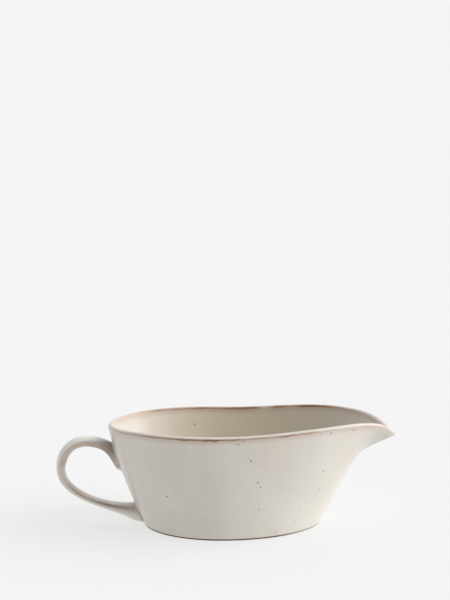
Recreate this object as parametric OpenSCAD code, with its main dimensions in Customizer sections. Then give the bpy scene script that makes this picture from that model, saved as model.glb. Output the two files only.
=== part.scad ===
// Pouring boat for sauce: an egg-shaped bowl with a drawn-out spout, a bare
// clay foot ring and one strap handle luted on with slip.
// Origin: centre of the length and of the width, on the table.
// +X points to the spout, -X to the handle, +Z is up. Millimetres.

/* [Bowl] */
// Length from the handle's outermost point to the spout tip
overall_length = 220; // [212:1:230]
// Width across the outside of the lip
bowl_width = 98; // [90:1:106]
// Distance from the widest section back to the lip over the handle
bowl_back = 75.9; // [73:0.1:79]
// Height of the lip at the middle of the bowl
rim_height = 67.1; // [63:0.1:72]
// Drop of the lip at the very back
back_drop = 1; // [0:0.1:3]
// Rise of the lip just behind the spout
crest_rise = 4.5; // [2:0.1:7]
// Height of the lip at the spout tip
tip_height = 59.8; // [56:0.1:64]
// Thickness of the wall
wall = 4; // [3:0.1:4.6]
// Thickness of the floor
floor_thickness = 5; // [4:0.1:7]
// Height of the rounding on top of the lip
lip_round = 2; // [1.2:0.1:2.6]

/* [Foot] */
// Width of the foot
foot_width = 77.4; // [72:0.1:82]
// Distance from the foot's widest section to its back end
foot_back = 50.2; // [47:0.1:53]
// Distance from the foot's widest section to its front end
foot_front = 64.8; // [61:0.1:68]
// Height of the bare clay ring under the bowl
foot_height = 1.1; // [1:0.1:2.4]
// Width of the band of bare clay
foot_band = 5; // [3:0.1:8]
// Bevel along the two lower edges of the ring
foot_bevel = 0.3; // [0.2:0.1:0.8]

/* [Handle] */
// Height of the middle of the strap where it arches over the finger gap
handle_arch = 53.7; // [51:0.1:55]
// Height of the middle of the strap at its upper joint
handle_upper = 45.6; // [45:0.1:47]
// Height of the middle of the strap at its outermost point
handle_elbow = 35.5; // [33:0.1:38]
// Height of the middle of the strap at its lower joint
handle_lower = 6.2; // [6.2:0.1:7.5]
// Width of the strap across the bowl's length
strap_width = 10.8; // [9:0.1:14]
// Thickness of the strap over the arch and down to the elbow
strap_thickness = 6.7; // [5:0.1:7]
// Thickness of the strap along its lower run
lower_thickness = 3.9; // [3.6:0.1:5]
// How much the strap thickens, each side, towards its upper joint
upper_flare = 4.2; // [3:0.1:5]
// How much the strap thickens, each side, towards its lower joint
lower_flare = 5; // [4:0.1:5.5]

/* [Slip joints] */
// Spread of the upper slip joint over the wall, beyond the strap
upper_spread = 0.9; // [0.6:0.1:1.6]
// Spread of the lower slip joint over the wall, beyond the strap
lower_spread = 0.5; // [0.3:0.1:0.8]
// Thickness of slip left at a joint's thin edge
slip_edge = 0.4; // [0.4:0.1:0.6]

/* [Hidden] */
// Points round every outline of the bowl and the foot
segments = 72;
// Steps up the outside wall, over the lip, down the inside wall, into the floor
outer_steps = 14;
lip_steps = 6;
inner_steps = 12;
cove_steps = 4;
// X of the spout tip, of the widest section of the lip and of the foot
tip_x = overall_length / 2;
rim_mid_x = 0;
foot_mid_x = -3;
// How pointed the front of the lip and of the foot are, 1 is an ellipse
rim_point = 1.448;
foot_point = 1.2;
back_point = 1;
// Where the lip rises to its crest, and how wide its dips are
crest_x = 88;
back_reach = 0.33;
tip_reach = 22.4;
// Angle either side of the tip over which the wall turns into the spout
spout_reach = 27.3;
// Wall profile: two control points, outward and upward, from foot to lip
side_low = [0.454, 1/3];
side_high = [0.789, 2/3];
spout_low = [0.60, 0.88];
spout_high = [0.20, 0.70];
// The same two points for the floor of the spout channel inside
channel_low = [0.53, 0.75];
channel_high = [0.37, 0.88];
// Distance along X from the tip to the channel's end, and from the foot's front
nose_wall = 1.6 * wall;
heel_wall = wall + 0.55;
// Height of the floor, share of the wall that starts above its cove, cove width
floor_z = foot_height + floor_thickness;
inner_start = 0.16;
cove_width = 8;
// Inset of the bare ring from the bowl's lower edge, and how far down
// strap and slip are cleared away beside it
ring_inset = 0.3;
clearance_depth = 20;
// Steps along the three spans of the handle's path, points round its section
strap_count = 42;
strap_points = 24;
// Squareness of the strap's section, 2 is an ellipse
strap_square = 2.3;
// Shares of the path between which the strap thins to its lower run
thin_from = 0.55;
thin_to = 0.82;
// Shares of the path over which the strap flares, and its widening there
upper_share = 0.19;
lower_share = 0.12;
strap_widen = 2.2;
// Handle path: start and end inside the wall, arch and elbow
strap_start = [-67, handle_upper - 1.8];
strap_arch = [-90.9, handle_arch];
strap_elbow = [-tip_x + strap_deep(2 / 3), handle_elbow];
strap_end = [-53, handle_lower];
// How far the strap and its slip run on into the wall past their paths' ends
upper_lead = [8, 0, -3.6];
lower_lead = [8, 0, 0];
// Lengths of the handle path's tangents
start_pull = [-6.2, 2.9];
arch_in = 13.3;
arch_out = 8.1;
elbow_in = 11.3;
elbow_out = 18.1;
end_pull = [-25.2, 3.9];
// Steps of the path between which slip covers the strap
upper_slip = [0, 8];
lower_slip = [37, 42];

// A value between 0 and 1 with level ends
function ease(v) =
    let (c = min(1, max(0, v)))
    c * c * (3 - 2 * c);

// A mix of a and b, all b where w is 1
function mix(a, b, w) = a * (1 - w) + b * w;

// A cubic curve through a and d with control points b and c
function cubic(a, b, c, d, u) =
    let (v = 1 - u)
    v * v * v * a + 3 * v * v * u * b + 3 * v * u * u * c + u * u * u * d;

// Angle of point j round an outline: 0 at the tip, 180 at the back
function turn(j) = -180 + 360 * j / segments;

// A point of an egg-shaped outline
function egg(t, mid_x, back, front, half, point) =
    let (c = cos(t))
    let (bend = c < 0 ? back_point : point)
    [
        mid_x + (c < 0 ? back : front) * c,
        half * sign(t) * pow(abs(sin(t)), bend)
    ];

// Outlines of the lip and of the foot, moved inward by inset, front by nose
function rim_egg(t, inset, nose) =
    egg(t, rim_mid_x, bowl_back - inset, tip_x - rim_mid_x - nose,
        bowl_width / 2 - inset, rim_point);
function foot_egg(t, inset, nose) =
    egg(t, foot_mid_x, foot_back - inset, foot_front - nose,
        foot_width / 2 - inset, foot_point);

// Height of the lip's crest
function rim_z(t) =
    let (x = rim_egg(t, 0, 0)[0])
    let (back = back_drop * ease((-cos(t) - 1 + back_reach) / back_reach))
    let (body = rim_height - back + crest_rise * ease(x / crest_x))
    mix(body, tip_height, bell(t, tip_reach));

// A bell curve round the spout tip
function bell(t, reach) = exp(-pow(t / reach, 2));

// Share of the way out and up at step u, from the side's and spout's profiles
function profile(t, u, axis, low, high, nose_low, nose_high) =
    let (w = bell(t, spout_reach))
    cubic(0, mix(low[axis], nose_low[axis], w),
        mix(high[axis], nose_high[axis], w), 1, u);

// Points of one level of a wall between two outlines
function level(from, to, z_from, z_to, out, up) = [
    from[0] + (to[0] - from[0]) * out,
    from[1] + (to[1] - from[1]) * out,
    z_from + (z_to - z_from) * up
];

function outer_point(t, u) =
    level(foot_egg(t, 0, 0), rim_egg(t, 0, 0), foot_height, rim_z(t) - lip_round,
        profile(t, u, 0, side_low, side_high, spout_low, spout_high),
        profile(t, u, 1, side_low, side_high, spout_low, spout_high));

// Inside of the wall, moved inward by extra
function inner_point(t, u, extra) =
    level(foot_egg(t, wall + extra, heel_wall + extra),
        rim_egg(t, wall + extra, nose_wall + extra), foot_height, rim_z(t) - lip_round,
        profile(t, u, 0, side_low, side_high, channel_low, channel_high),
        profile(t, u, 1, side_low, side_high, channel_low, channel_high));

// Rounded top of the lip, a from 0 outside to 180 inside
function lip_point(t, a) =
    let (out = rim_egg(t, 0, 0))
    let (in = rim_egg(t, wall, nose_wall))
    let (share = (1 - cos(a)) / 2)
    [
        mix(out[0], in[0], share),
        mix(out[1], in[1], share),
        rim_z(t) - lip_round + lip_round * sin(a)
    ];

// Cove between the inside wall and the floor, a from 90 at its top to 0
function cove_point(t, a) =
    let (e = inner_point(t, inner_start, cove_width * (1 - sin(a))))
    [e[0], e[1], mix(floor_z, e[2], 1 - cos(a))];

// Triangles between two neighbouring rings of n points
function band(n, from, to) = [
    for (j = [0 : n - 1])
    let (k = (j + 1) % n)
    each [[to + k, from + k, from + j], [to + j, to + k, from + j]]
];

// Triangles of a fan that closes the ring of n points at start onto a centre
function cap(n, start, centre, first) = [
    for (j = [0 : n - 1])
    let (k = (j + 1) % n)
    first ? [start + j, start + k, centre] : [start + k, start + j, centre]
];

// A closed skin over rings of n points, capped at both ends
module skin(rings, n, first, last) {
    rows = len(rings);
    points = [for (ring = rings) each ring];
    faces = [
        each cap(n, 0, rows * n, true),
        for (r = [0 : rows - 2]) each band(n, r * n, (r + 1) * n),
        each cap(n, (rows - 1) * n, rows * n + 1, false)
    ];
    polyhedron(points = concat(points, [first, last]), faces = faces, convexity = 10);
}

// A closed tube-like skin whose last ring of n points joins its first
module loop(rings, n) {
    rows = len(rings);
    points = [for (ring = rings) each ring];
    faces = [for (r = [0 : rows - 1]) each band(n, r * n, (r + 1) % rows * n)];
    polyhedron(points = points, faces = faces, convexity = 10);
}

// Rings of the outside of the bowl, from the foot up to the lip
outer_rings = [
    for (i = [0 : outer_steps])
    [for (j = [0 : segments - 1]) outer_point(turn(j), i / outer_steps)]
];
lip_rings = [
    for (i = [1 : lip_steps - 1])
    [for (j = [0 : segments - 1]) lip_point(turn(j), 180 * i / lip_steps)]
];
inner_rings = [
    for (i = [0 : inner_steps])
    [for (j = [0 : segments - 1])
        inner_point(turn(j), mix(1, inner_start, i / inner_steps), 0)]
];
cove_rings = [
    for (i = [1 : cove_steps])
    [for (j = [0 : segments - 1]) cove_point(turn(j), 90 * (1 - i / cove_steps))]
];

// Everything inside the bowl's outer surface, lip included, with no hollow
module bowl_block() {
    skin(concat(outer_rings, [lip_rings[0]]), segments,
        [foot_mid_x, 0, foot_height], [rim_mid_x, 0, rim_height]);
}

// The space below the bowl's lower edge, where no slip or strap is left
module clearance() {
    translate([-tip_x, -bowl_width, -clearance_depth])
    cube([overall_length, 2 * bowl_width, clearance_depth + foot_height]);
}

module bowl() {
    color([0.80, 0.77, 0.72])
    skin(concat(outer_rings, lip_rings, inner_rings, cove_rings), segments,
        [foot_mid_x, 0, foot_height], [foot_mid_x, 0, floor_z]);
}

// One ring of the foot: an outline at a height
function foot_ring_level(inset, z) = [
    for (j = [0 : segments - 1])
    let (e = foot_egg(turn(j), inset, inset))
    [e[0], e[1], z]
];

module foot_ring() {
    inner = ring_inset + foot_band;
    color([0.42, 0.30, 0.22])
    loop([
        foot_ring_level(ring_inset, foot_bevel),
        foot_ring_level(ring_inset, foot_height),
        foot_ring_level(inner, foot_height),
        foot_ring_level(inner, foot_bevel),
        foot_ring_level(inner - foot_bevel, 0),
        foot_ring_level(ring_inset + foot_bevel, 0)
    ], segments);
}

// Point of the handle's path, v from 0 at the upper joint to 3 at the lower
function path_span(k, u, axis) =
    k == 0 ? cubic(strap_start[axis], strap_start[axis] + start_pull[axis],
        strap_arch[axis] + [arch_in, 0][axis], strap_arch[axis], u)
    : k == 1 ? cubic(strap_arch[axis], strap_arch[axis] - [arch_out, 0][axis],
        strap_elbow[axis] + [0, elbow_in][axis], strap_elbow[axis], u)
    : cubic(strap_elbow[axis], strap_elbow[axis] - [0, elbow_out][axis],
        strap_end[axis] + end_pull[axis], strap_end[axis], u);
function path_point(v) =
    let (k = min(2, floor(v)))
    [path_span(k, v - k, 0), path_span(k, v - k, 1)];

// Share of a flare left at share s of the path: all at the end, none beyond
function fade(s, reach) = pow(1 - min(1, s / reach), 2);
function upper_fade(s) = fade(s, upper_share);
function lower_fade(s) = fade(1 - s, lower_share);

// Half the strap's thickness at share s of its path
function strap_deep(s) =
    let (thin = ease((s - thin_from) / (thin_to - thin_from)))
    mix(strap_thickness, lower_thickness, thin) / 2
        + upper_flare * upper_fade(s) + lower_flare * lower_fade(s);

// One ring of the strap at share s of its path, grown by extra all round
function strap_ring(s, extra) =
    let (v = 3 * s, tiny = 0.001)
    let (p = path_point(v))
    let (d = path_point(min(3, v + tiny)) - path_point(max(0, v - tiny)))
    let (n = [-d[1], d[0]] / norm(d))
    let (deep = strap_deep(s) + extra)
    let (wide = strap_width / 2 + strap_widen * (upper_fade(s) + lower_fade(s)) + extra)
    [
        for (j = [0 : strap_points - 1])
        let (a = 360 * j / strap_points)
        let (r = deep * sign(cos(a)) * pow(abs(cos(a)), 2 / strap_square))
        let (y = wide * sign(sin(a)) * pow(abs(sin(a)), 2 / strap_square))
        [p[0] + n[0] * r, y, p[1] + n[1] * r]
    ];

// The strap's last ring at the upper or lower joint, moved on into the wall
function upper_root(extra) = [for (p = strap_ring(0, extra)) p + upper_lead];
function lower_root(extra) = [for (p = strap_ring(1, extra)) p + lower_lead];

// The strap's full path, running into the bowl's wall at both ends
module strap() {
    first = path_point(0);
    last = path_point(3);
    along = [for (i = [0 : strap_count]) strap_ring(i / strap_count, 0)];
    skin(concat([upper_root(0)], along, [lower_root(0)]), strap_points,
        [first[0], 0, first[1]] + upper_lead, [last[0], 0, last[1]] + lower_lead);
}

module handle() {
    color([0.76, 0.73, 0.69])
    resize([0, 0, 0])
    difference() {
        strap();
        bowl_block();
        clearance();
    }
}

// Slip round the strap between two steps of its path, spread at the wall
module slip(steps, spread, wall_first) {
    span = steps[1] - steps[0];
    outside = [
        for (i = [0 : span])
        let (u = i / span)
        strap_ring((steps[0] + i) / strap_count,
            slip_edge + spread * pow(wall_first ? 1 - u : u, 2))
    ];
    inside = [for (i = [0 : span]) strap_ring((steps[1] - i) / strap_count, 0)];
    widest = slip_edge + spread;
    rings = wall_first
        ? concat([upper_root(widest)], outside, inside, [upper_root(0)])
        : concat(outside, [lower_root(widest), lower_root(0)], inside);
    resize([0, 0, 0])
    difference() {
        loop(rings, strap_points);
        bowl_block();
        clearance();
    }
}

module upper_slip_joint() {
    color([0.66, 0.60, 0.55])
    slip(upper_slip, upper_spread, true);
}

module lower_slip_joint() {
    color([0.66, 0.60, 0.55])
    slip(lower_slip, lower_spread, false);
}

bowl();
foot_ring();
handle();
upper_slip_joint();
lower_slip_joint();
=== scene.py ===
import math
from collections import namedtuple

import bpy
import numpy as np
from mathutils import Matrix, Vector


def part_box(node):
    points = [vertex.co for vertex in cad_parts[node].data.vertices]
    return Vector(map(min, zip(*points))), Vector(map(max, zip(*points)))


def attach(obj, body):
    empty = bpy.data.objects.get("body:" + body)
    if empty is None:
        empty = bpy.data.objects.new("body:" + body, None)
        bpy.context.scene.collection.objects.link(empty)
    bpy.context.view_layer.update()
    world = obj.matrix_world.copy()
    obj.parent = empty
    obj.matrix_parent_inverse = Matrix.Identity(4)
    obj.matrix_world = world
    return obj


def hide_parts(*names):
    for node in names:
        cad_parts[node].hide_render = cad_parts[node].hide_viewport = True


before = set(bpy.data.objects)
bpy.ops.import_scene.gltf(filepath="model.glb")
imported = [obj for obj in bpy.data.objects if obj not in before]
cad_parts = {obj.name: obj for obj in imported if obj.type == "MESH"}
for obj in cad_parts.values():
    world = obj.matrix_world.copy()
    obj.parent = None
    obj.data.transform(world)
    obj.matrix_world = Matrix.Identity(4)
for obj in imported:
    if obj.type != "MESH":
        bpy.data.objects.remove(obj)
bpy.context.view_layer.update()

MM = 0.001

# ---------------------------------------------------------------- dimensions
# The bowl's and the foot's numbers, the same as in the CAD source, in millimetres
# and degrees. Angles run round the bowl from 0 at the spout tip to 180 over the
# handle, and are negative where y is.
TIP_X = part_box("bowl")[1].x / MM
BOWL_WIDTH = 98.0
BOWL_BACK = 75.9
RIM_HEIGHT = 67.1
BACK_DROP, BACK_REACH = 1.0, 0.33
CREST_RISE, CREST_X = 4.5, 88
TIP_HEIGHT, TIP_REACH = 59.8, 22.4
WALL = 4.0
LIP_ROUND = 2.0
FOOT_WIDTH = 77.4
FOOT_BACK = 50.2
FOOT_FRONT = 64.8
FOOT_HEIGHT = 1.1
FOOT_BAND = 5.0
FOOT_BEVEL = 0.3
RING_INSET = 0.3
RIM_POINT = 1.448
FOOT_POINT = 1.2
FOOT_MID = -3.0
FLOOR_Z = FOOT_HEIGHT + 5.0
INNER_START = 0.16
COVE_WIDTH = 8
NOSE_WALL = 1.6 * WALL
HEEL_WALL = WALL + 0.55
SPOUT_REACH = 27.3
SIDE = ((0.454, 1 / 3), (0.789, 2 / 3))
SPOUT = ((0.60, 0.88), (0.20, 0.70))
CHANNEL = ((0.53, 0.75), (0.37, 0.88))

# Only here: the lip leans a little to one side and waves, as a hand-finished one does.
# A wave is its angle, height and reach.
RIM_TILT = 0.3
LIP_WAVES = ((122, 0.1, 20), (85, -0.6, 18), (39, -0.35, 7),
             (-80, 0.5, 18), (-50, -0.35, 12), (-33, -0.3, 6))


# --------------------------------------------------------------- the surfaces
def ease(v):
    v = np.clip(v, 0, 1)
    return v * v * (3 - 2 * v)


def mix(a, b, w):
    return a * (1 - w) + b * w


def bell(t, reach):
    return np.exp(-((t / reach) ** 2))


def cubic(a, b, c, d, u):
    v = 1 - u
    return v ** 3 * a + 3 * v * v * u * b + 3 * v * u * u * c + u ** 3 * d


def egg(t, mid, back, front, half, point):
    c = np.cos(np.radians(t))
    s = np.abs(np.sin(np.radians(t)))
    x = mid + np.where(c < 0, back, front) * c
    return x, half * np.sign(t) * np.where(c < 0, s, s ** point)


def rim_egg(t, inset, nose):
    return egg(t, 0, BOWL_BACK - inset, TIP_X - nose, BOWL_WIDTH / 2 - inset, RIM_POINT)


def foot_egg(t, inset, nose):
    return egg(t, FOOT_MID, FOOT_BACK - inset, FOOT_FRONT - nose,
               FOOT_WIDTH / 2 - inset, FOOT_POINT)


def rim_z(t):
    """Height of the lip's crest."""
    x = rim_egg(t, 0, 0)[0]
    back = BACK_DROP * ease((-np.cos(np.radians(t)) - 1 + BACK_REACH) / BACK_REACH)
    body = RIM_HEIGHT - back + CREST_RISE * ease(x / CREST_X)
    z = mix(body, TIP_HEIGHT, bell(t, TIP_REACH)) - RIM_TILT * np.sin(np.radians(t))
    for at, high, reach in LIP_WAVES:
        z = z + high * bell(t - at, reach)
    return z


def profile(t, u, axis, nose):
    """Share of the way out, axis 0, or up, axis 1, at share u of the wall's curve."""
    w = bell(t, SPOUT_REACH)
    low = mix(SIDE[0][axis], nose[0][axis], w)
    high = mix(SIDE[1][axis], nose[1][axis], w)
    return cubic(0, low, high, 1, u)


def wall_point(t, u, inset, heel, nose, shape):
    f = foot_egg(t, inset, heel)
    r = rim_egg(t, inset, nose)
    g = profile(t, u, 0, shape)
    h = profile(t, u, 1, shape)
    z = FOOT_HEIGHT + (rim_z(t) - LIP_ROUND - FOOT_HEIGHT) * h
    return np.stack([f[0] + (r[0] - f[0]) * g, f[1] + (r[1] - f[1]) * g, z], -1)


def outer_point(t, u):
    return wall_point(t, u, 0, 0, 0, SPOUT)


def inner_point(t, u, extra=0.0):
    return wall_point(t, u, WALL + extra, HEEL_WALL + extra, NOSE_WALL + extra, CHANNEL)


def lip_point(t, a):
    """Top of the lip, a from 0 outside to pi inside."""
    outer = rim_egg(t, 0, 0)
    inner = rim_egg(t, WALL, NOSE_WALL)
    share = (1 - math.cos(a)) / 2
    z = rim_z(t) - LIP_ROUND + LIP_ROUND * math.sin(a)
    return np.stack([mix(outer[0], inner[0], share), mix(outer[1], inner[1], share), z], -1)


def cove_point(t, a):
    """Cove between the inside wall and the floor, a from pi / 2 at its top to 0."""
    e = inner_point(t, INNER_START, COVE_WIDTH * (1 - math.sin(a)))
    e[:, 2] = mix(FLOOR_Z, e[:, 2], 1 - math.cos(a))
    return e


# ------------------------------------------------------------- mesh building
def mesh_object(name, points, faces):
    """A smooth-shaded object from points in millimetres."""
    mesh = bpy.data.meshes.new(name)
    mesh.from_pydata([tuple(p) for p in (np.asarray(points) * MM)], [], faces)
    mesh.update()
    mesh.polygons.foreach_set("use_smooth", [True] * len(mesh.polygons))
    obj = bpy.data.objects.new(name, mesh)
    bpy.context.scene.collection.objects.link(obj)
    return obj


def ring_faces(rows, n, closed=False):
    """Faces between rows of n points each, whose last row joins the first where closed."""
    faces = []
    for r in range(rows if closed else rows - 1):
        a, b = r * n, (r + 1) % rows * n
        for j in range(n):
            k = (j + 1) % n
            faces.append((a + j, a + k, b + k, b + j))
    return faces


def flipped(faces):
    return [f[::-1] for f in faces]


def fans(rows, n):
    """Faces that close the first and last of the rows onto two points added after them."""
    faces = []
    middle = rows * n
    base = middle - n
    for j in range(n):
        k = (j + 1) % n
        faces += [(middle, k, j), (middle + 1, base + j, base + k)]
    return faces


def add_values(obj, name, values):
    """A number for each point, which the materials read by name."""
    att = obj.data.attributes.new(name, "FLOAT", "POINT")
    att.data.foreach_set("value", np.asarray(values, np.float32))


def declare(obj, node):
    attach(obj, "root")
    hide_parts(node)


# ------------------------------------------------------------------ the bowl
# Points round each outline of the bowl and the foot, and the degrees by which they crowd towards the tip,
# where the outline turns fastest.
TURNS = 600
CROWD = 9
even = -180 + 360 * np.arange(TURNS) / TURNS
t = even - CROWD * np.sin(np.radians(even))

OUTER_STEPS, LIP_STEPS, INNER_STEPS, COVE_STEPS = 90, 30, 80, 20
FLOOR_SHARES = (0.8, 0.6, 0.4, 0.2)
UNDER_SHARES = (0.2, 0.4, 0.6, 0.8, 0.97)
FLOOR_MIDDLE = np.array([FOOT_MID, 0, FLOOR_Z])
UNDER_MIDDLE = np.array([FOOT_MID, 0, FOOT_HEIGHT])

# How strongly the glaze breaks to brown, along the lip's outer and inner edge:
# angle and strength, joined by straight lines.
OUTER_BREAK = ((-180, 0.15), (-155, 0.3), (-135, 0.65), (-120, 0.7), (-100, 1.1), (-85, 0.8),
               (-70, 0.8), (-50, 0.55), (-35, 0.8), (-15, 0.45), (0, 0.6), (15, 0.45), (30, 0.6),
               (90, 0.7), (140, 0.6), (180, 0.15))
INNER_BREAK = ((-180, 0.35), (-110, 0.5), (-60, 0.5), (-30, 0.3), (0, 0.1), (30, 0.25), (45, 0.6),
               (60, 1.0), (65, 0.6), (70, 0.8), (75, 0.2), (80, 1.0), (100, 0.85), (130, 0.7),
               (150, 0.55), (180, 0.35))
# Where the brown has run down a little: angle, how far, reach.
DRIPS = ((-95, 0.7, 1.5), (-99, 0.5, 2), (-109, 0.5, 3), (-88, 0.4, 2), (-71, 0.4, 2),
         (-63, 0.4, 1.5), (-34, 0.5, 3), (-126, 0.4, 3), (150, 0.5, 4), (104, 0.6, 3),
         (77, 0.5, 2), (58, 0.4, 2))
# How much paler, or below 0 greyer, the outer wall's glaze is: angle and amount. It comes
# in over a height above the foot, because all angles meet under the bowl.
WALL_TONE = ((-180, 0.2), (-135, 0.2), (-115, 0), (-95, -0.2), (-75, 0), (-55, 0.15), (-35, 0),
             (35, 0), (180, 0.1))
TONE_HEIGHT = 8
# The two middles' distance below the lip, larger than any that the materials look at.
FAR_BELOW = 60.0


def bowl_rows():
    """Rows of points from the underside's middle over the lip to the floor's middle, and
    how far inside each row is: -1 outside, 1 inside, and between them over the lip."""
    bends = [math.pi * i / LIP_STEPS for i in range(1, LIP_STEPS)]
    outer = [outer_point(t, i / OUTER_STEPS) for i in range(OUTER_STEPS + 1)]
    lip = [lip_point(t, a) for a in bends]
    inner = [inner_point(t, mix(1, INNER_START, i / INNER_STEPS)) for i in range(INNER_STEPS + 1)]
    cove = [cove_point(t, math.pi / 2 * (1 - i / COVE_STEPS)) for i in range(1, COVE_STEPS + 1)]
    under = [UNDER_MIDDLE + (outer[0] - UNDER_MIDDLE) * k for k in UNDER_SHARES]
    floor = [FLOOR_MIDDLE + (cove[-1] - FLOOR_MIDDLE) * k for k in FLOOR_SHARES]
    outside, inside = under + outer, inner + cove + floor
    sides = [-1.0] * len(outside) + [-math.cos(a) for a in bends] + [1.0] * len(inside)
    return outside + lip + inside, sides


def along(angles, knots):
    return np.interp(angles, [k[0] for k in knots], [k[1] for k in knots])


def build_bowl():
    rows, sides = bowl_rows()
    points = np.concatenate(rows + [[UNDER_MIDDLE, FLOOR_MIDDLE]])
    faces = ring_faces(len(rows), TURNS) + fans(len(rows), TURNS)
    bowl = mesh_object("bowl_glazed", points, faces)
    angle = np.tile(t, len(rows))
    crest = np.tile(rim_z(t), len(rows))
    drip = sum(run * bell(angle - at, reach) for at, run, reach in DRIPS)
    middles = [0.0, 0.0]
    tone = np.append(along(angle, WALL_TONE), middles)
    add_values(bowl, "side", np.append(np.repeat(sides, TURNS), middles))
    add_values(bowl, "drop", np.append(crest - points[:-2, 2], [FAR_BELOW, FAR_BELOW]))
    add_values(bowl, "angle", np.append(np.abs(angle), middles))
    add_values(bowl, "break_out", np.append(along(angle, OUTER_BREAK), middles))
    add_values(bowl, "break_in", np.append(along(angle, INNER_BREAK), middles))
    add_values(bowl, "wall_tone", tone * ease((points[:, 2] - FOOT_HEIGHT) / TONE_HEIGHT))
    add_values(bowl, "drip", np.append(drip, middles))
    declare(bowl, "bowl")
    return bowl


# ------------------------------------------------------------- the foot ring
# Steps along the wide top and bottom of the ring's section, and along its short sides.
BAND_STEPS, EDGE_STEPS = 12, 4
# The ring's edge is worn inward unevenly: the least wear, the waves' share, the waves'
# counts round the ring and their heights.
LEAST_WEAR = 0.05
WEAR_SHARE = 0.25
WEAR_COUNTS = range(3, 14)
WEAR_HEIGHTS = (0.02, 0.06)


def ring_section():
    """Points round the ring's section: inset from the foot's outline, and height."""
    inner = RING_INSET + FOOT_BAND
    corners = [(RING_INSET, FOOT_HEIGHT), (inner, FOOT_HEIGHT), (inner, FOOT_BEVEL),
               (inner - FOOT_BEVEL, 0.0), (RING_INSET + FOOT_BEVEL, 0.0), (RING_INSET, FOOT_BEVEL)]
    points = []
    for i, (a, za) in enumerate(corners):
        b, zb = corners[(i + 1) % len(corners)]
        steps = BAND_STEPS if abs(b - a) > FOOT_BAND / 2 else EDGE_STEPS
        for s in range(steps):
            points.append((mix(a, b, s / steps), mix(za, zb, s / steps)))
    return points


def ring_wear():
    rng = np.random.default_rng(5)
    wave = 0
    for count in WEAR_COUNTS:
        height = rng.uniform(*WEAR_HEIGHTS)
        wave = wave + height * np.sin(np.radians(count * t) + rng.uniform(0, 6.28))
    return WEAR_SHARE * np.abs(wave)


def build_foot_ring():
    wear = ring_wear()
    rows = []
    for inset, z in ring_section():
        inward = inset + wear + LEAST_WEAR
        e = foot_egg(t, inward, inward)
        rows.append(np.stack([e[0], e[1], np.full(TURNS, z)], -1))
    faces = flipped(ring_faces(len(rows), TURNS, True))
    foot = mesh_object("foot_ring_clay", np.concatenate(rows), faces)
    declare(foot, "foot_ring")
    return foot


# ----------------------------------------------------------------- the strap
# The same numbers as in the CAD source. A share is of the strap's path, from 0 at the
# upper joint to 1 at the lower one.
STRAP_WIDTH = 10.8
STRAP_DEEP = 6.7
LOWER_DEEP = 3.9
THIN_FROM, THIN_TO = 0.55, 0.82
UPPER_FLARE, UPPER_SHARE = 4.2, 0.19
LOWER_FLARE, LOWER_SHARE = 5.0, 0.12
WIDEN = 2.2
SQUARE = 2.3
SLIP_EDGE = 0.4
UPPER_SPREAD, UPPER_SLIP = 0.9, 8 / 42
LOWER_SPREAD, LOWER_SLIP = 0.5, 5 / 42
UPPER_LEAD = np.array([8, 0, -3.6])
LOWER_LEAD = np.array([8, 0, 0])

# Only here: the slip's edge ends a little past the slip's own share, and thins over a part
# of it. Both are multiples of that share.
UPPER_EDGE = (1.15, 0.5)
LOWER_EDGE = (1.3, 0.6)
# Shares beyond the path's ends over which the strap runs on by one lead into the wall.
LEAD_SHARE = 0.12
# The strap's lower end flattens softly at this height, just above the bowl's lower edge.
LOWEST = FOOT_HEIGHT + 0.56
LOWEST_SOFT = 0.8
# The elbow stands in a little, which keeps the finer strap within the CAD's length.
ELBOW_BACK = 0.06
TANGENT_STEP = 4e-4


def fade(s, reach):
    return (1 - np.clip(s / reach, 0, 1)) ** 2


def strap_deep(s):
    """Half the strap's thickness."""
    thin = ease((s - THIN_FROM) / (THIN_TO - THIN_FROM))
    flare = UPPER_FLARE * fade(s, UPPER_SHARE) + LOWER_FLARE * fade(1 - s, LOWER_SHARE)
    return mix(STRAP_DEEP, LOWER_DEEP, thin) / 2 + flare


# The path's control points, x and z, in three spans that meet at the arch and the elbow.
START, START_PULL = (-67, 43.8), (-73.2, 46.7)
ARCH, ARCH_IN, ARCH_OUT = (-90.9, 53.7), 13.3, 8.1
ELBOW, ELBOW_IN, ELBOW_OUT = (-TIP_X + strap_deep(2 / 3) + ELBOW_BACK, 35.5), 11.3, 18.1
END_PULL, END = (-78.2, 10.1), (-53, 6.2)
SPANS = np.array(((START, START_PULL, (ARCH[0] + ARCH_IN, ARCH[1]), ARCH),
                  (ARCH, (ARCH[0] - ARCH_OUT, ARCH[1]), (ELBOW[0], ELBOW[1] + ELBOW_IN), ELBOW),
                  (ELBOW, (ELBOW[0], ELBOW[1] - ELBOW_OUT), END_PULL, END)), float)


def path(s):
    v = np.clip(3 * s, 0, 3)
    k = np.minimum(2, np.floor(v)).astype(int)
    a, b, c, d = (SPANS[k, i].T for i in range(4))
    return cubic(a, b, c, d, v - k).T


def path_direction(s, step):
    d = path(np.minimum(1, np.maximum(s, 0) + step)) - path(np.maximum(0, np.minimum(s, 1) - step))
    return d / np.linalg.norm(d, axis=1)[:, None]


def slip_swell(s, slip, spread, edge):
    """How far the slip at one end stands proud of the strap, at share s from that end."""
    return SLIP_EDGE * ease((slip * edge[0] - s) / (slip * edge[1])) + spread * fade(s, slip)


def swell(s):
    upper_swell = slip_swell(s, UPPER_SLIP, UPPER_SPREAD, UPPER_EDGE)
    return upper_swell + slip_swell(1 - s, LOWER_SLIP, LOWER_SPREAD, LOWER_EDGE)


def squared(part):
    """A cosine or sine, pushed outward so that a circle becomes a rounded oblong."""
    return np.sign(part) * np.abs(part) ** (2 / SQUARE)


def above_lowest(z):
    low = z - LOWEST
    soft = LOWEST_SOFT * np.exp(np.clip(low / LOWEST_SOFT - 1, -30, 0))
    return LOWEST + np.where(low > LOWEST_SOFT, low, soft)


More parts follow.
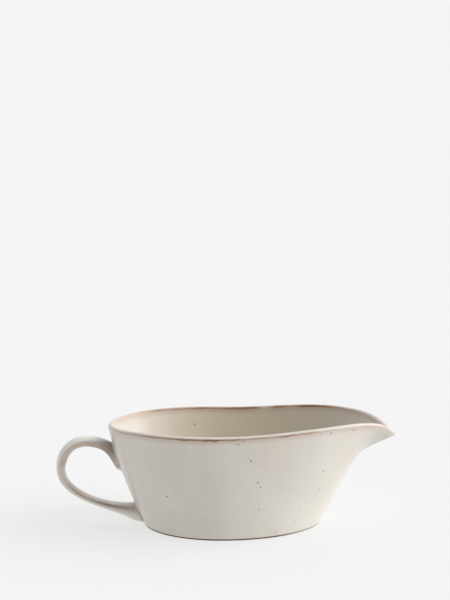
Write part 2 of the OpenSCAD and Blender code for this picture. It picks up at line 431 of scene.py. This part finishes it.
def strap_surface(s, phi):
    """Points of the strap at shares s of its path and angles phi round its section."""
    s, phi = np.broadcast_arrays(s, phi)
    shape = s.shape
    s, phi = s.ravel(), phi.ravel()
    p = path(s)
    d = path_direction(s, TANGENT_STEP)
    n = np.stack([-d[:, 1], d[:, 0]], -1)
    grow = swell(s)
    deep = (strap_deep(s) + grow) * squared(np.cos(phi))
    wide = STRAP_WIDTH / 2 + WIDEN * (fade(s, UPPER_SHARE) + fade(1 - s, LOWER_SHARE)) + grow
    wide = wide * squared(np.sin(phi))
    out = np.stack([p[:, 0] + n[:, 0] * deep, wide, p[:, 1] + n[:, 1] * deep], -1)
    out += UPPER_LEAD * np.clip(-s / LEAD_SHARE, 0, None)[:, None]
    out += LOWER_LEAD * np.clip((s - 1) / LEAD_SHARE, 0, None)[:, None]
    out[:, 2] = above_lowest(out[:, 2])
    return out.reshape(shape + (3,))


# ------------------------------------------- where the strap meets the wall
# Points round the strap's section.
PHIS = 144
phi = 2 * math.pi * (np.arange(PHIS) + 0.5) / PHIS
# Fillet: its size, how much larger it is on the finger gap's side, and its reach along
# the wall.
FILLET, FILLET_LEAN, FILLET_REACH = 1.5, 0.4, 0.8
SEARCH_STEPS = 1800
START_SMOOTHING, HIT_SMOOTHING, WALL_SMOOTHING = 4, 1, 2
# Shares between which each joint is looked for, from the strap's middle into the wall.
UPPER_SEARCH = (0.30, -0.12)
LOWER_SEARCH = (0.70, 1.12)

Seam = namedtuple("Seam", "start hit edge corner on_wall normal")


def wall_field(p):
    """How far outside the bowl's wall points near the handle are: 0 on it, negative inside.
    Also the x of the wall's middle at their height."""
    x, y, z = p[..., 0], p[..., 1], p[..., 2]
    angle = np.full(x.shape, 179.0)
    for _ in range(4):
        u = (z - FOOT_HEIGHT) / (rim_z(angle) - LIP_ROUND - FOOT_HEIGHT)
        g = cubic(0, SIDE[0][0], SIDE[1][0], 1, np.clip(u, 0, 1.05))
        mid = FOOT_MID * (1 - g)
        back = mix(FOOT_BACK, BOWL_BACK, g)
        half = mix(FOOT_WIDTH / 2, BOWL_WIDTH / 2, g)
        angle = np.degrees(np.arctan2(np.abs(y) / half, (x - mid) / back))
    return np.sqrt(((x - mid) / back) ** 2 + (y / half) ** 2) - 1, mid


def onto_wall(p):
    """Moves points, level with themselves, onto the bowl's wall."""
    out = p.copy()
    out[..., 2] = np.maximum(out[..., 2], FOOT_HEIGHT)
    for _ in range(6):
        f, mid = wall_field(out)
        out[..., 0] = mid + (out[..., 0] - mid) / (1 + f)
        out[..., 1] = out[..., 1] / (1 + f)
    return out


def wall_normal(p):
    e = 0.05
    g = np.stack([wall_field(p + e * d)[0] - wall_field(p - e * d)[0] for d in np.eye(3)], -1)
    return g / np.linalg.norm(g, axis=-1, keepdims=True)


def smooth_ring(values, times):
    for _ in range(times):
        values = (np.roll(values, 1, 0) + values * 2 + np.roll(values, -1, 0)) / 4
    return values


def meet_wall(search, radius):
    """Shares at which each line of the strap meets the wall, and a radius short of it."""
    s = np.linspace(*search, SEARCH_STEPS)
    lines = strap_surface(s[:, None], phi[None, :])
    f = wall_field(lines)[0]
    hit, start = np.empty(PHIS), np.empty(PHIS)
    for j in range(PHIS):
        i = np.argmax(f[:, j] < 0)
        hit[j] = s[i - 1] + (s[i] - s[i - 1]) * f[i - 1, j] / (f[i - 1, j] - f[i, j])
        step = np.linalg.norm(np.diff(lines[:i + 1, j], axis=0), axis=1)
        back = np.concatenate([[0], np.cumsum(step[::-1])])
        start[j] = np.interp(radius[j], back, s[i::-1])
    return smooth_ring(start, START_SMOOTHING), smooth_ring(hit, HIT_SMOOTHING)


def find_seam(search):
    """The rings that shape a joint: its edge on the strap, its corner, its edge on the wall."""
    radius = FILLET + FILLET_LEAN * np.cos(phi)
    start, hit = meet_wall(search, radius)
    edge = strap_surface(start, phi)
    corner = onto_wall(strap_surface(hit, phi))
    normal = wall_normal(corner)
    away = np.cross(np.roll(corner, -2, 0) - np.roll(corner, 2, 0), normal)
    away /= np.linalg.norm(away, axis=1)[:, None]
    away *= np.sign(((corner - corner.mean(0)) * away).sum())
    on_wall = smooth_ring(corner + away * (radius * FILLET_REACH)[:, None], WALL_SMOOTHING)
    return Seam(start, hit, edge, corner, onto_wall(on_wall), normal)


# ---------------------------------------------------------------- the handle
STRAP_ROWS = 300
# How far the strap runs on under each fillet, as a share of the way to the wall.
UNDER_FILLET = 0.6
TONE_STEP = 1e-3
# Shares over which the tones change from the arch's to the lower run's.
LOW_RUN_FROM, LOW_RUN_SPAN = 0.6, 0.16
# How much facing up and facing out count together.
UP_WEIGHT = 0.78
# Share of the path whose section stands for all of them when the facing is worked out.
TYPICAL_SHARE = 0.4
# How squarely the strap must face for its painted light and shade to begin, and over how much they grow.
# The brown on the lower run, partly glaze break and partly painted shade, lies round one facing instead,
# with a reach.
ARCH_LIGHT, ARCH_BREAK_AND_SHADE, ARCH_BREAK_AND_SHADE_STRENGTH = (0.1, 0.5), (0.45, 0.5), 1.25
TOP_LIGHT, UNDER_BOUNCE, UNDER_BOUNCE_STRENGTH = (0.82, 0.16), (0.25, 0.5), 0.45
LOW_BREAK_AND_SHADE, LOW_BREAK_AND_SHADE_REACH, LOW_BREAK_AND_SHADE_STRENGTH = 0.68, 0.34, 1.1
# Darker patches near the joints: share of the path, its reach, facing, its reach,
# strength.
JOINT_DARKENING = ((0.12, 0.055, 0.15, 0.42, 0.75), (0.2, 0.09, 0.05, 0.4, 0.45), (0.9, 0.05, 0.7, 0.2, 0.7),
         (0.78, 0.09, 0.68, 0.22, 0.22), (0.045, 0.03, -0.6, 0.35, 0.35))


def section_facing():
    """How squarely each point round the section faces the finger gap, 1, or away from it, -1."""
    power = 2 - 2 / SQUARE
    deep = np.sign(np.cos(phi)) * np.abs(np.cos(phi)) ** power / strap_deep(TYPICAL_SHARE)
    wide = np.abs(np.sin(phi)) ** power / (STRAP_WIDTH / 2)
    return deep / np.hypot(deep, wide)


def rising(value, start, growth):
    return ease((value - start) / growth)


def falling(value, start, growth):
    return ease((start - value) / growth)


def strap_tones(share):
    """Painted light and shade by facing. Over the arch the strap is pale, painted light, where it faces
    up and out, and brown where it faces down and in, partly glaze break and partly painted shade. Along
    the lower run it is palest on top, painted light, brown just below that, partly glaze break and partly
    painted shade, and a little pale again underneath, painted floor bounce. It is darker in patches near
    the joints."""
    d = path_direction(share.ravel(), TONE_STEP)
    facing = section_facing()[None, :]
    up = d[:, 0].reshape(share.shape) * facing
    out = d[:, 1].reshape(share.shape) * facing
    up_out = UP_WEIGHT * up + out
    low_run = rising(share, LOW_RUN_FROM, LOW_RUN_SPAN)
    low_light = rising(up, *TOP_LIGHT) + UNDER_BOUNCE_STRENGTH * falling(up, *UNDER_BOUNCE)
    low_break_and_shade = bell(up - LOW_BREAK_AND_SHADE, LOW_BREAK_AND_SHADE_REACH) * LOW_BREAK_AND_SHADE_STRENGTH
    arch_break_and_shade = ARCH_BREAK_AND_SHADE_STRENGTH * falling(up_out, *ARCH_BREAK_AND_SHADE)
    face_up = mix(up_out, up, low_run)
    near_joint_dark = sum(strength * np.exp(-((share - at) / reach) ** 2 - ((face_up - face) / spread) ** 2)
               for at, reach, face, spread, strength in JOINT_DARKENING)
    # pale is painted light and painted floor bounce; brown is partly glaze break and partly painted
    # shade.
    return {"near_joint_dark": near_joint_dark,
            "pale": mix(rising(up_out, *ARCH_LIGHT), low_light, low_run),
            "brown": mix(arch_break_and_shade, low_break_and_shade, low_run)}


def build_handle(upper, lower):
    part = np.linspace(0, 1, STRAP_ROWS)[:, None]
    first = mix(upper.start, upper.hit, UNDER_FILLET)[None, :]
    last = mix(lower.start, lower.hit, UNDER_FILLET)[None, :]
    shares = first + (last - first) * part
    rings = strap_surface(shares, phi[None, :])
    ends = np.array([rings[0].mean(0), rings[-1].mean(0)])
    faces = flipped(ring_faces(STRAP_ROWS, PHIS) + fans(STRAP_ROWS, PHIS))
    handle = mesh_object("handle_glazed", np.vstack([rings.reshape(-1, 3), ends]), faces)
    for name, values in strap_tones(np.clip(shares, 0, 1)).items():
        add_values(handle, name, np.append(values.ravel(), [0, 0]))
    declare(handle, "handle")
    return handle


# ---------------------------------------------------------------- the joints
FILLET_STEPS = 18
# The joint's hidden back: how far it goes back along the strap and inward from it, and the
# depths at which its edge, its corner and its middle lie inside the wall.
BACK_ALONG, BACK_INWARD = -0.3, 0.012
EDGE_DEPTH, CORNER_DEPTH, MIDDLE_DEPTH = 0.4, 1.0, 0.6
MIDDLE_SHARE = 0.15


def build_joint(name, node, seam, flip):
    back = strap_surface(mix(seam.start, seam.hit, BACK_ALONG), phi)
    rows = [back + (back.mean(0) - back) * BACK_INWARD]
    steps = [i / FILLET_STEPS for i in range(FILLET_STEPS + 1)]
    for v in steps:
        rows.append((1 - v) ** 2 * seam.edge + 2 * (1 - v) * v * seam.corner + v * v * seam.on_wall)
    middle = mix(seam.corner, seam.corner.mean(0), MIDDLE_SHARE)
    rows.append(seam.on_wall - seam.normal * EDGE_DEPTH)
    rows.append(seam.corner - seam.normal * CORNER_DEPTH)
    rows.append(middle - seam.normal * MIDDLE_DEPTH)
    faces = ring_faces(len(rows), PHIS, True)
    obj = mesh_object(name, np.concatenate(rows), flipped(faces) if flip else faces)
    add_values(obj, "crease", np.repeat([0.0] + steps + [1, 1, 1], PHIS))
    declare(obj, node)
    return obj


# ----------------------------------------------------------------- materials
CREAM = (0.710, 0.665, 0.592)
GREIGE = (0.655, 0.605, 0.533)
# Painted shade: the warm tone stands for shade and bounced light inside the bowl.
WARM_SHADE = (0.675, 0.615, 0.505)
PALE = (0.86, 0.845, 0.80)
GREY = (0.585, 0.555, 0.505)
# Painted shade: this grey stands for the shade under the spout's lip.
SPOUT_SHADE_GREY = (0.50, 0.475, 0.45)
BROWN = (0.225, 0.115, 0.062)
ROSE = (0.40, 0.235, 0.165)
UMBER = (0.175, 0.125, 0.085)
SPECK = (0.105, 0.065, 0.042)
DARK_CLAY = (0.085, 0.055, 0.038)
LIGHT_CLAY = (0.19, 0.13, 0.09)
WORN_CLAY = (0.30, 0.22, 0.165)
DRY_CLAY = (0.62, 0.54, 0.46)

# Noises: scale per metre, detail, roughness. The streaks are stretched up the wall, so
# their scale is in the coordinates.
CLOUDS = (28, 3, 0.55)
STREAKS, STREAK_SCALE = (1.0, 3, 0.6), (95, 95, 14)
GRAIN = (620, 2, 0.6)
RAGGED_EDGE = (240, 3, 0.65)
LIP_PATCHES = (70, 2, 0.5)
STRAP_PATCHES = (180, 3, 0.6)
JOINT_PATCHES = (160, 3, 0.6)
BROAD_SKIN, FINE_SKIN = (45, 2), (330, 2)
GRIT = (900, 4, 0.7)
CLAY_PATCHES = (60, 3)

# Iron specks, scattered by cells of the glaze: cells per metre, share left empty,
# radius as a share of a cell, faintest and strongest.
GLAZE_SPECKS = ((115, 0.15, 0.062, 0.5, 1.0), (170, 0.8, 0.06, 0.2, 0.7), (260, 0.93, 0.07, 0.1, 0.5))
JOINT_SPECKS = GLAZE_SPECKS + ((420, 0.4, 0.15, 0.4, 0.9),)

# The glaze's gloss, and its uneven skin: strength, depth in metres, broad and fine share.
GLAZE_ROUGHNESS, GLAZE_SPECULAR = 0.33, 0.5
GLAZE_COAT, GLAZE_COAT_ROUGHNESS = 0.25, 0.12
GLAZE_BUMP, BROAD_SHARE, FINE_SHARE = (0.2, 0.0004), 0.7, 0.12
CLAY_BUMP = (0.5, 0.0002)

# Millimetres below the lip's crest at which the brown lines lie, and how unevenly.
OUTER_LINE, INNER_LINE = 1.3, 0.9
RAGGED_BY, INNER_RAGGED_SHARE = 0.75, 0.7
# A brown line's rose share, where its brown core begins and is full, and the core's share.
OUTER_BROWN = (1.15, (0.55, 1.05), 0.85)
INNER_BROWN = (1.25, (0.4, 0.95), 0.7)
HALO_SHARE = 0.42
# The strap's pale is painted light, and its rose is partly glaze break and partly painted shade.
STRAP_LIGHT, STRAP_ROSE = 0.9, 0.42
CLOUD_SHARE, STREAK_SHARE = 0.8, 0.2
# Where in the crease of a joint the colour is darkest: 0 on the strap, 1 on the wall.
CREASE_MIDDLE = 0.35
# A speck's soft edge, in radii.
DOT_FULL, DOT_GONE = 0.5, 1.4

# Spans say how an amount eases: from where, to where, and the amounts there, which are 0
# and 1 where they are left out. These are of a noise:
CLOUD_TONE = (0.34, 0.66)
GRAIN_AMOUNT = (0.3, 0.7, 0, 0.12)
OUTER_PATCHY = (0.32, 0.6, 0.72, 1)
INNER_PATCHY = (0.3, 0.6, 0.8, 1)
STRAP_UNEVEN = (0.3, 0.7, 0.65, 1)
JOINT_DARK_PATCHY = (0.42, 0.68, 0.1, 0.75)
GRIT_COLOUR = (0.35, 0.65)
GRIT_ROUGHNESS = (0.3, 0.7, 0.75, 0.95)
CLAY_WORN = (0.45, 0.7, 0, 0.3)
# Of the side, -1 outside, 0 on top of the lip and 1 inside:
SPOUT_SHADE_OUTSIDE = (-0.9, -0.6, 0.75, 0)
TONE_OUTSIDE = (-0.8, -0.3, 1, 0)
LINE_OUTSIDE = (-0.75, -0.4, 1, 0)
LINE_INSIDE = (-0.35, 0.25)
TONE_INSIDE = (0.2, 0.9)
# Of millimetres below the lip's crest, or from the middle of a brown line:
SPOUT_SHADE_STARTS, SPOUT_SHADE_ENDS = (2.2, 5.0), (9, 22, 1, 0)
HALO_STARTS, HALO_ENDS = (0.8, 2.2), (1.8, 5.5, 1, 0)
OUTER_EDGE, INNER_EDGE = (0.05, 0.85, 1, 0), (0.25, 1.15, 1, 0)
# Of degrees from the spout tip, and of the distance from the middle of a joint's crease:
NEAR_TIP = (18, 42, 1, 0)
CREASE_EDGE = (0.1, 0.45, 1, 0)
# Of x in metres:
DULL_X = (-71 * MM, -49 * MM, 0.6, 0)
# Inside the bowl: paler towards the spout as painted light, warmer in the middle as painted shade.
PAINTED_LIGHT_X = (10 * MM, 60 * MM, 0, 0.32)
WARM_SHADE_STARTS, WARM_SHADE_ENDS = (-66 * MM, -7 * MM), (28 * MM, 100 * MM, 1, 0.3)
DRY_X = (26 * MM, 62 * MM, 0, 0.7)


class Nodes:
    """A short way to write a node tree."""

    def __init__(self, tree):
        self.tree = tree

    def new(self, kind, **fields):
        n = self.tree.nodes.new(kind)
        for key, value in fields.items():
            setattr(n, key, value)
        return n

    def put(self, socket, value):
        if isinstance(value, bpy.types.NodeSocket):
            self.tree.links.new(value, socket)
        elif isinstance(value, tuple) and len(value) == 3 and socket.type == "RGBA":
            socket.default_value = (*value, 1)
        else:
            socket.default_value = value

    def math(self, op, a, b=0.0, clamp=False):
        n = self.new("ShaderNodeMath", operation=op, use_clamp=clamp)
        self.put(n.inputs[0], a)
        self.put(n.inputs[1], b)
        return n.outputs[0]

    def times(self, first, *others):
        for other in others:
            first = self.math("MULTIPLY", first, other)
        return first

    def clamped(self, a, b):
        """The product of a and b, kept between 0 and 1."""
        return self.math("MULTIPLY", a, b, clamp=True)

    def span(self, value, low, high, to_low=0.0, to_high=1.0):
        """Eases from to_low, where value is low, to to_high, where it is high."""
        n = self.new("ShaderNodeMapRange", interpolation_type="SMOOTHSTEP")
        for s, v in zip(n.inputs, (value, low, high, to_low, to_high)):
            self.put(s, v)
        return n.outputs[0]

    def blend(self, fac, a, b):
        n = self.new("ShaderNodeMix", data_type="RGBA")
        self.put(n.inputs[0], fac)
        self.put(n.inputs[6], a)
        self.put(n.inputs[7], b)
        return n.outputs[2]

    def coords(self):
        return self.new("ShaderNodeTexCoord").outputs["Object"]

    def scaled_coords(self, scale):
        n = self.new("ShaderNodeMapping")
        self.put(n.inputs["Vector"], self.coords())
        n.inputs["Scale"].default_value = scale
        return n.outputs[0]

    def noise(self, scale, detail, rough=0.5, at=None):
        n = self.new("ShaderNodeTexNoise")
        self.put(n.inputs["Vector"], at or self.coords())
        self.put(n.inputs["Scale"], scale)
        self.put(n.inputs["Detail"], detail)
        self.put(n.inputs["Roughness"], rough)
        return n.outputs[0]

    def along_x(self):
        n = self.new("ShaderNodeSeparateXYZ")
        self.put(n.inputs[0], self.coords())
        return n.outputs[0]

    def value(self, name):
        return self.new("ShaderNodeAttribute", attribute_name=name).outputs["Fac"]


def new_material(name):
    """A material, a writer for its nodes, and its shader's inputs."""
    material = bpy.data.materials.new(name)
    material.use_nodes = True
    return material, Nodes(material.node_tree), material.node_tree.nodes["Principled BSDF"].inputs


def add_bump(m, shader, height, strength, distance):
    bump = m.new("ShaderNodeBump")
    bump.inputs["Strength"].default_value = strength
    bump.inputs["Distance"].default_value = distance
    m.put(bump.inputs["Height"], height)
    m.put(shader["Normal"], bump.outputs[0])


def cloudy_glaze(m):
    """Cream and greige clouds, faintly streaked, with a fine pale grain."""
    cloud = m.noise(*CLOUDS)
    streak = m.noise(*STREAKS, m.scaled_coords(STREAK_SCALE))
    tone = m.math("ADD", m.times(cloud, CLOUD_SHARE), m.times(streak, STREAK_SHARE))
    colour = m.blend(m.span(tone, *CLOUD_TONE), GREIGE, CREAM)
    return m.blend(m.span(m.noise(*GRAIN), *GRAIN_AMOUNT), colour, PALE)


def outer_tones(m, colour):
    """Painted shade, a grey under the spout's lip, and the outer wall's paler and greyer parts."""
    drop, side = m.value("drop"), m.value("side")
    below_lip = m.times(m.span(drop, *SPOUT_SHADE_STARTS), m.span(drop, *SPOUT_SHADE_ENDS))
    near_tip = m.span(m.value("angle"), *NEAR_TIP)
    # Painted shade under the spout's lip: greyer a few millimetres below the lip near the tip, outside.
    thin = m.times(below_lip, near_tip, m.span(side, *SPOUT_SHADE_OUTSIDE))
    colour = m.blend(thin, colour, SPOUT_SHADE_GREY)
    tone = m.value("wall_tone")
    outer = m.span(side, *TONE_OUTSIDE)
    colour = m.blend(m.clamped(tone, outer), colour, PALE)
    return m.blend(m.clamped(tone, m.times(outer, -1)), colour, GREY)


def inner_tones(m, colour):
    """Inside, the glaze is greyer at the handle's end. It is painted paler towards the spout, which is
    painted light, and warmer and darker between them, which is painted shade with its bounced warmth."""
    x = m.along_x()
    inner = m.span(m.value("side"), *TONE_INSIDE)
    dull = m.times(m.span(x, *DULL_X), inner)
    # Painted light, paler towards the spout, and painted shade, warmer in the middle.
    pale = m.times(m.span(x, *PAINTED_LIGHT_X), inner)
    warm_shade = m.times(m.span(x, *WARM_SHADE_STARTS), m.span(x, *WARM_SHADE_ENDS), inner)
    for amount, tint in ((dull, GREY), (pale, PALE), (warm_shade, WARM_SHADE)):
        colour = m.blend(amount, colour, tint)
    return colour


def outer_line(m, drop, outside, ragged):
    """Amount of brown along the lip's outer edge, where a drip makes it reach further down."""
    run = m.times(m.value("drip"), 0.5)
    away = m.math("ADD", m.math("SUBTRACT", m.math("SUBTRACT", drop, OUTER_LINE), run), ragged)
    away = m.math("SUBTRACT", m.math("ABSOLUTE", away), run)
    return m.times(m.span(away, *OUTER_EDGE), outside, m.value("break_out"))


def inner_line(m, drop, inside, ragged):
    """Amount of brown along the lip's inner edge."""
    shift = m.times(ragged, INNER_RAGGED_SHARE)
    away = m.math("ABSOLUTE", m.math("ADD", m.math("SUBTRACT", drop, INNER_LINE), shift))
    return m.times(m.span(away, *INNER_EDGE), inside, m.value("break_in"))


def brown_line(m, colour, line, rose, core, brown):
    colour = m.blend(m.clamped(line, rose), colour, ROSE)
    return m.blend(m.times(m.span(line, *core), brown), colour, BROWN)


def lip_lines(m, colour):
    """Brown lines about a millimetre wide along the lip's outer and inner edge, just below
    its crest, where the glaze breaks. They fade into the glaze over a few millimetres."""
    drop, side, patch = m.value("drop"), m.value("side"), m.noise(*LIP_PATCHES)
    ragged = m.times(m.math("SUBTRACT", m.noise(*RAGGED_EDGE), 0.5), RAGGED_BY)
    outside, inside = m.span(side, *LINE_OUTSIDE), m.span(side, *LINE_INSIDE)
    halo = m.times(m.span(drop, *HALO_STARTS), m.span(drop, *HALO_ENDS))
    halo_out = m.times(halo, outside, m.value("break_out"))
    halo_in = m.times(halo, inside, m.value("break_in"))
    outer = m.times(outer_line(m, drop, outside, ragged), m.span(patch, *OUTER_PATCHY))
    inner = m.times(inner_line(m, drop, inside, ragged), m.span(patch, *INNER_PATCHY))
    colour = m.blend(m.clamped(m.math("ADD", halo_out, halo_in), HALO_SHARE), colour, ROSE)
    colour = brown_line(m, colour, outer, *OUTER_BROWN)
    return brown_line(m, colour, inner, *INNER_BROWN)


def strap_glaze(m, colour):
    """The strap's pale edges, painted light, its brown sides, partly glaze break and partly painted
    shade, and its darker patches near the joints.
    """
    uneven = m.span(m.noise(*STRAP_PATCHES), *STRAP_UNEVEN)
    # Painted light: the strap's pale stands for light on its lit faces and floor bounce underneath.
    colour = m.blend(m.times(m.value("pale"), STRAP_LIGHT), colour, PALE)
    # Partly glaze break and partly painted shade: the strap's brown lies on faces turned from the light.
    colour = m.blend(m.times(m.value("brown"), uneven, STRAP_ROSE), colour, ROSE)
    return m.blend(m.clamped(m.value("near_joint_dark"), uneven), colour, UMBER)


def darker_joints(m, colour):
    """Darker and uneven where the slip meets the strap and the wall."""
    dark_patchy = m.span(m.noise(*JOINT_PATCHES), *JOINT_DARK_PATCHY)
    away = m.math("ABSOLUTE", m.math("SUBTRACT", m.value("crease"), CREASE_MIDDLE))
    return m.blend(m.times(dark_patchy, m.span(away, *CREASE_EDGE)), colour, UMBER)


def specks(m, colour, sizes):
    for cells, empty, radius, faint, strong in sizes:
        cell = m.new("ShaderNodeTexVoronoi", feature="F1")
        m.put(cell.inputs["Vector"], m.coords())
        cell.inputs["Scale"].default_value = cells
        draw = m.new("ShaderNodeSeparateColor")
        m.put(draw.inputs[0], cell.outputs["Color"])
        chosen = m.math("GREATER_THAN", draw.outputs[0], empty)
        dot = m.span(cell.outputs["Distance"], radius * DOT_FULL, radius * DOT_GONE, 1, 0)
        amount = m.times(dot, chosen, m.span(draw.outputs[1], 0, 1, faint, strong))
        colour = m.blend(amount, colour, SPECK)
    return colour


def glaze(name, layers, sizes):
    """Cloudy glaze with the layers of one piece over it, specks of the given sizes, and gloss."""
    material, m, shader = new_material(name)
    colour = cloudy_glaze(m)
    for layer in layers:
        colour = layer(m, colour)
    m.put(shader["Base Color"], specks(m, colour, sizes))
    shader["Roughness"].default_value = GLAZE_ROUGHNESS
    shader["Specular IOR Level"].default_value = GLAZE_SPECULAR
    shader["Coat Weight"].default_value = GLAZE_COAT
    shader["Coat Roughness"].default_value = GLAZE_COAT_ROUGHNESS
    broad = m.times(m.noise(*BROAD_SKIN), BROAD_SHARE)
    fine = m.times(m.noise(*FINE_SKIN), FINE_SHARE)
    add_bump(m, shader, m.math("ADD", broad, fine), *GLAZE_BUMP)
    return material


def clay(name):
    """Dark gritty clay, worn in patches, drier and paler towards the spout."""
    material, m, shader = new_material(name)
    grit = m.noise(*GRIT)
    colour = m.blend(m.span(grit, *GRIT_COLOUR), DARK_CLAY, LIGHT_CLAY)
    colour = m.blend(m.span(m.noise(*CLAY_PATCHES), *CLAY_WORN), colour, WORN_CLAY)
    colour = m.blend(m.span(m.along_x(), *DRY_X), colour, DRY_CLAY)
    m.put(shader["Base Color"], colour)
    m.put(shader["Roughness"], m.span(grit, *GRIT_ROUGHNESS))
    add_bump(m, shader, grit, *CLAY_BUMP)
    return material


# --------------------------------------------------------------------- stage
# Half the floor's size, its own light and its colour, and the light that the camera sees
# behind it. Sizes are in metres here.
FLOOR_HALF = 60.0
FLOOR_GLOW = 0.665
FLOOR_ALBEDO = 0.22
BACKDROP = 0.913
# The studio's light: from a depth and a depth further back, from one strength to another,
# and the same for what is added from left to right.
LIGHT_BY_DEPTH = (-0.9, 0.7, 0.34, 1.05)
LIGHT_ACROSS = (-0.2, 1.0, 0.0, 0.7)
KEY_ANGLE = math.radians(55)
KEY_STRENGTH = 2.55
TO_KEY = Vector((0.88, 0.02, 0.47))
CAMERA_PLACE = (0.00, -0.700, 0.2291)
CAMERA_DOWN = math.radians(6.78)
CAMERA_LEFT = math.radians(0.034)
SENSOR = 36
LENS = 66.198
WHITE = (1, 1, 1, 1)


def link(name, data):
    obj = bpy.data.objects.new(name, data)
    bpy.context.scene.collection.objects.link(obj)
    return obj


def build_floor():
    h = FLOOR_HALF
    mesh = bpy.data.meshes.new("floor")
    mesh.from_pydata([(-h, -h, 0), (h, -h, 0), (h, h, 0), (-h, h, 0)], [], [(0, 1, 2, 3)])
    material, _, shader = new_material("floor_plain")
    shader["Base Color"].default_value = (FLOOR_ALBEDO, FLOOR_ALBEDO, FLOOR_ALBEDO, 1)
    shader["Roughness"].default_value = 1.0
    shader["Specular IOR Level"].default_value = 0.0
    shader["Emission Color"].default_value = WHITE
    shader["Emission Strength"].default_value = FLOOR_GLOW
    mesh.materials.append(material)
    link("floor", mesh)


def build_studio():
    """Light brighter behind the object than in front, and brightest at the right. The
    camera sees a plain backdrop instead."""
    world = bpy.data.worlds.new("studio")
    world.use_nodes = True
    w = Nodes(world.node_tree)
    plain = w.tree.nodes["Background"]
    plain.inputs["Color"].default_value = WHITE
    plain.inputs["Strength"].default_value = BACKDROP
    shaded = w.new("ShaderNodeBackground")
    where = w.new("ShaderNodeSeparateXYZ")
    w.put(where.inputs[0], w.new("ShaderNodeTexCoord").outputs["Generated"])
    by_depth = w.span(where.outputs["Y"], *LIGHT_BY_DEPTH)
    across = w.span(where.outputs["X"], *LIGHT_ACROSS)
    w.put(shaded.inputs["Strength"], w.math("ADD", by_depth, across))
    pick = w.new("ShaderNodeMixShader")
    w.put(pick.inputs[0], w.new("ShaderNodeLightPath").outputs["Is Camera Ray"])
    w.put(pick.inputs[1], shaded.outputs[0])
    w.put(pick.inputs[2], plain.outputs[0])
    w.put(w.tree.nodes["World Output"].inputs["Surface"], pick.outputs[0])
    bpy.context.scene.world = world


def build_key_light():
    data = bpy.data.lights.new("key", "SUN")
    data.angle = KEY_ANGLE
    data.energy = KEY_STRENGTH
    aim = (-TO_KEY.normalized()).to_track_quat("-Z", "Y")
    link("key", data).rotation_euler = aim.to_euler()


def build_camera():
    data = bpy.data.cameras.new("camera")
    data.sensor_width = SENSOR
    data.sensor_fit = "AUTO"
    data.lens = LENS
    camera = link("camera", data)
    camera.location = CAMERA_PLACE
    camera.rotation_euler = (math.pi / 2 - CAMERA_DOWN, 0, CAMERA_LEFT)
    bpy.context.scene.camera = camera
    bpy.context.scene.view_settings.view_transform = "Standard"


# ----------------------------------------------------------------- the scene
bowl = build_bowl()
foot = build_foot_ring()
upper_seam, lower_seam = find_seam(UPPER_SEARCH), find_seam(LOWER_SEARCH)
handle = build_handle(upper_seam, lower_seam)
upper_joint = build_joint("upper_slip_fillet", "upper_slip_joint", upper_seam, False)
lower_joint = build_joint("lower_slip_fillet", "lower_slip_joint", lower_seam, True)

bowl.data.materials.append(glaze("glaze_bowl", (outer_tones, inner_tones, lip_lines), GLAZE_SPECKS))
handle.data.materials.append(glaze("glaze_handle", (strap_glaze,), GLAZE_SPECKS))
joint_glaze = glaze("glaze_joint", (darker_joints,), JOINT_SPECKS)
upper_joint.data.materials.append(joint_glaze)
lower_joint.data.materials.append(joint_glaze)
foot.data.materials.append(clay("clay_foot"))

build_floor()
build_studio()
build_key_light()
build_camera()
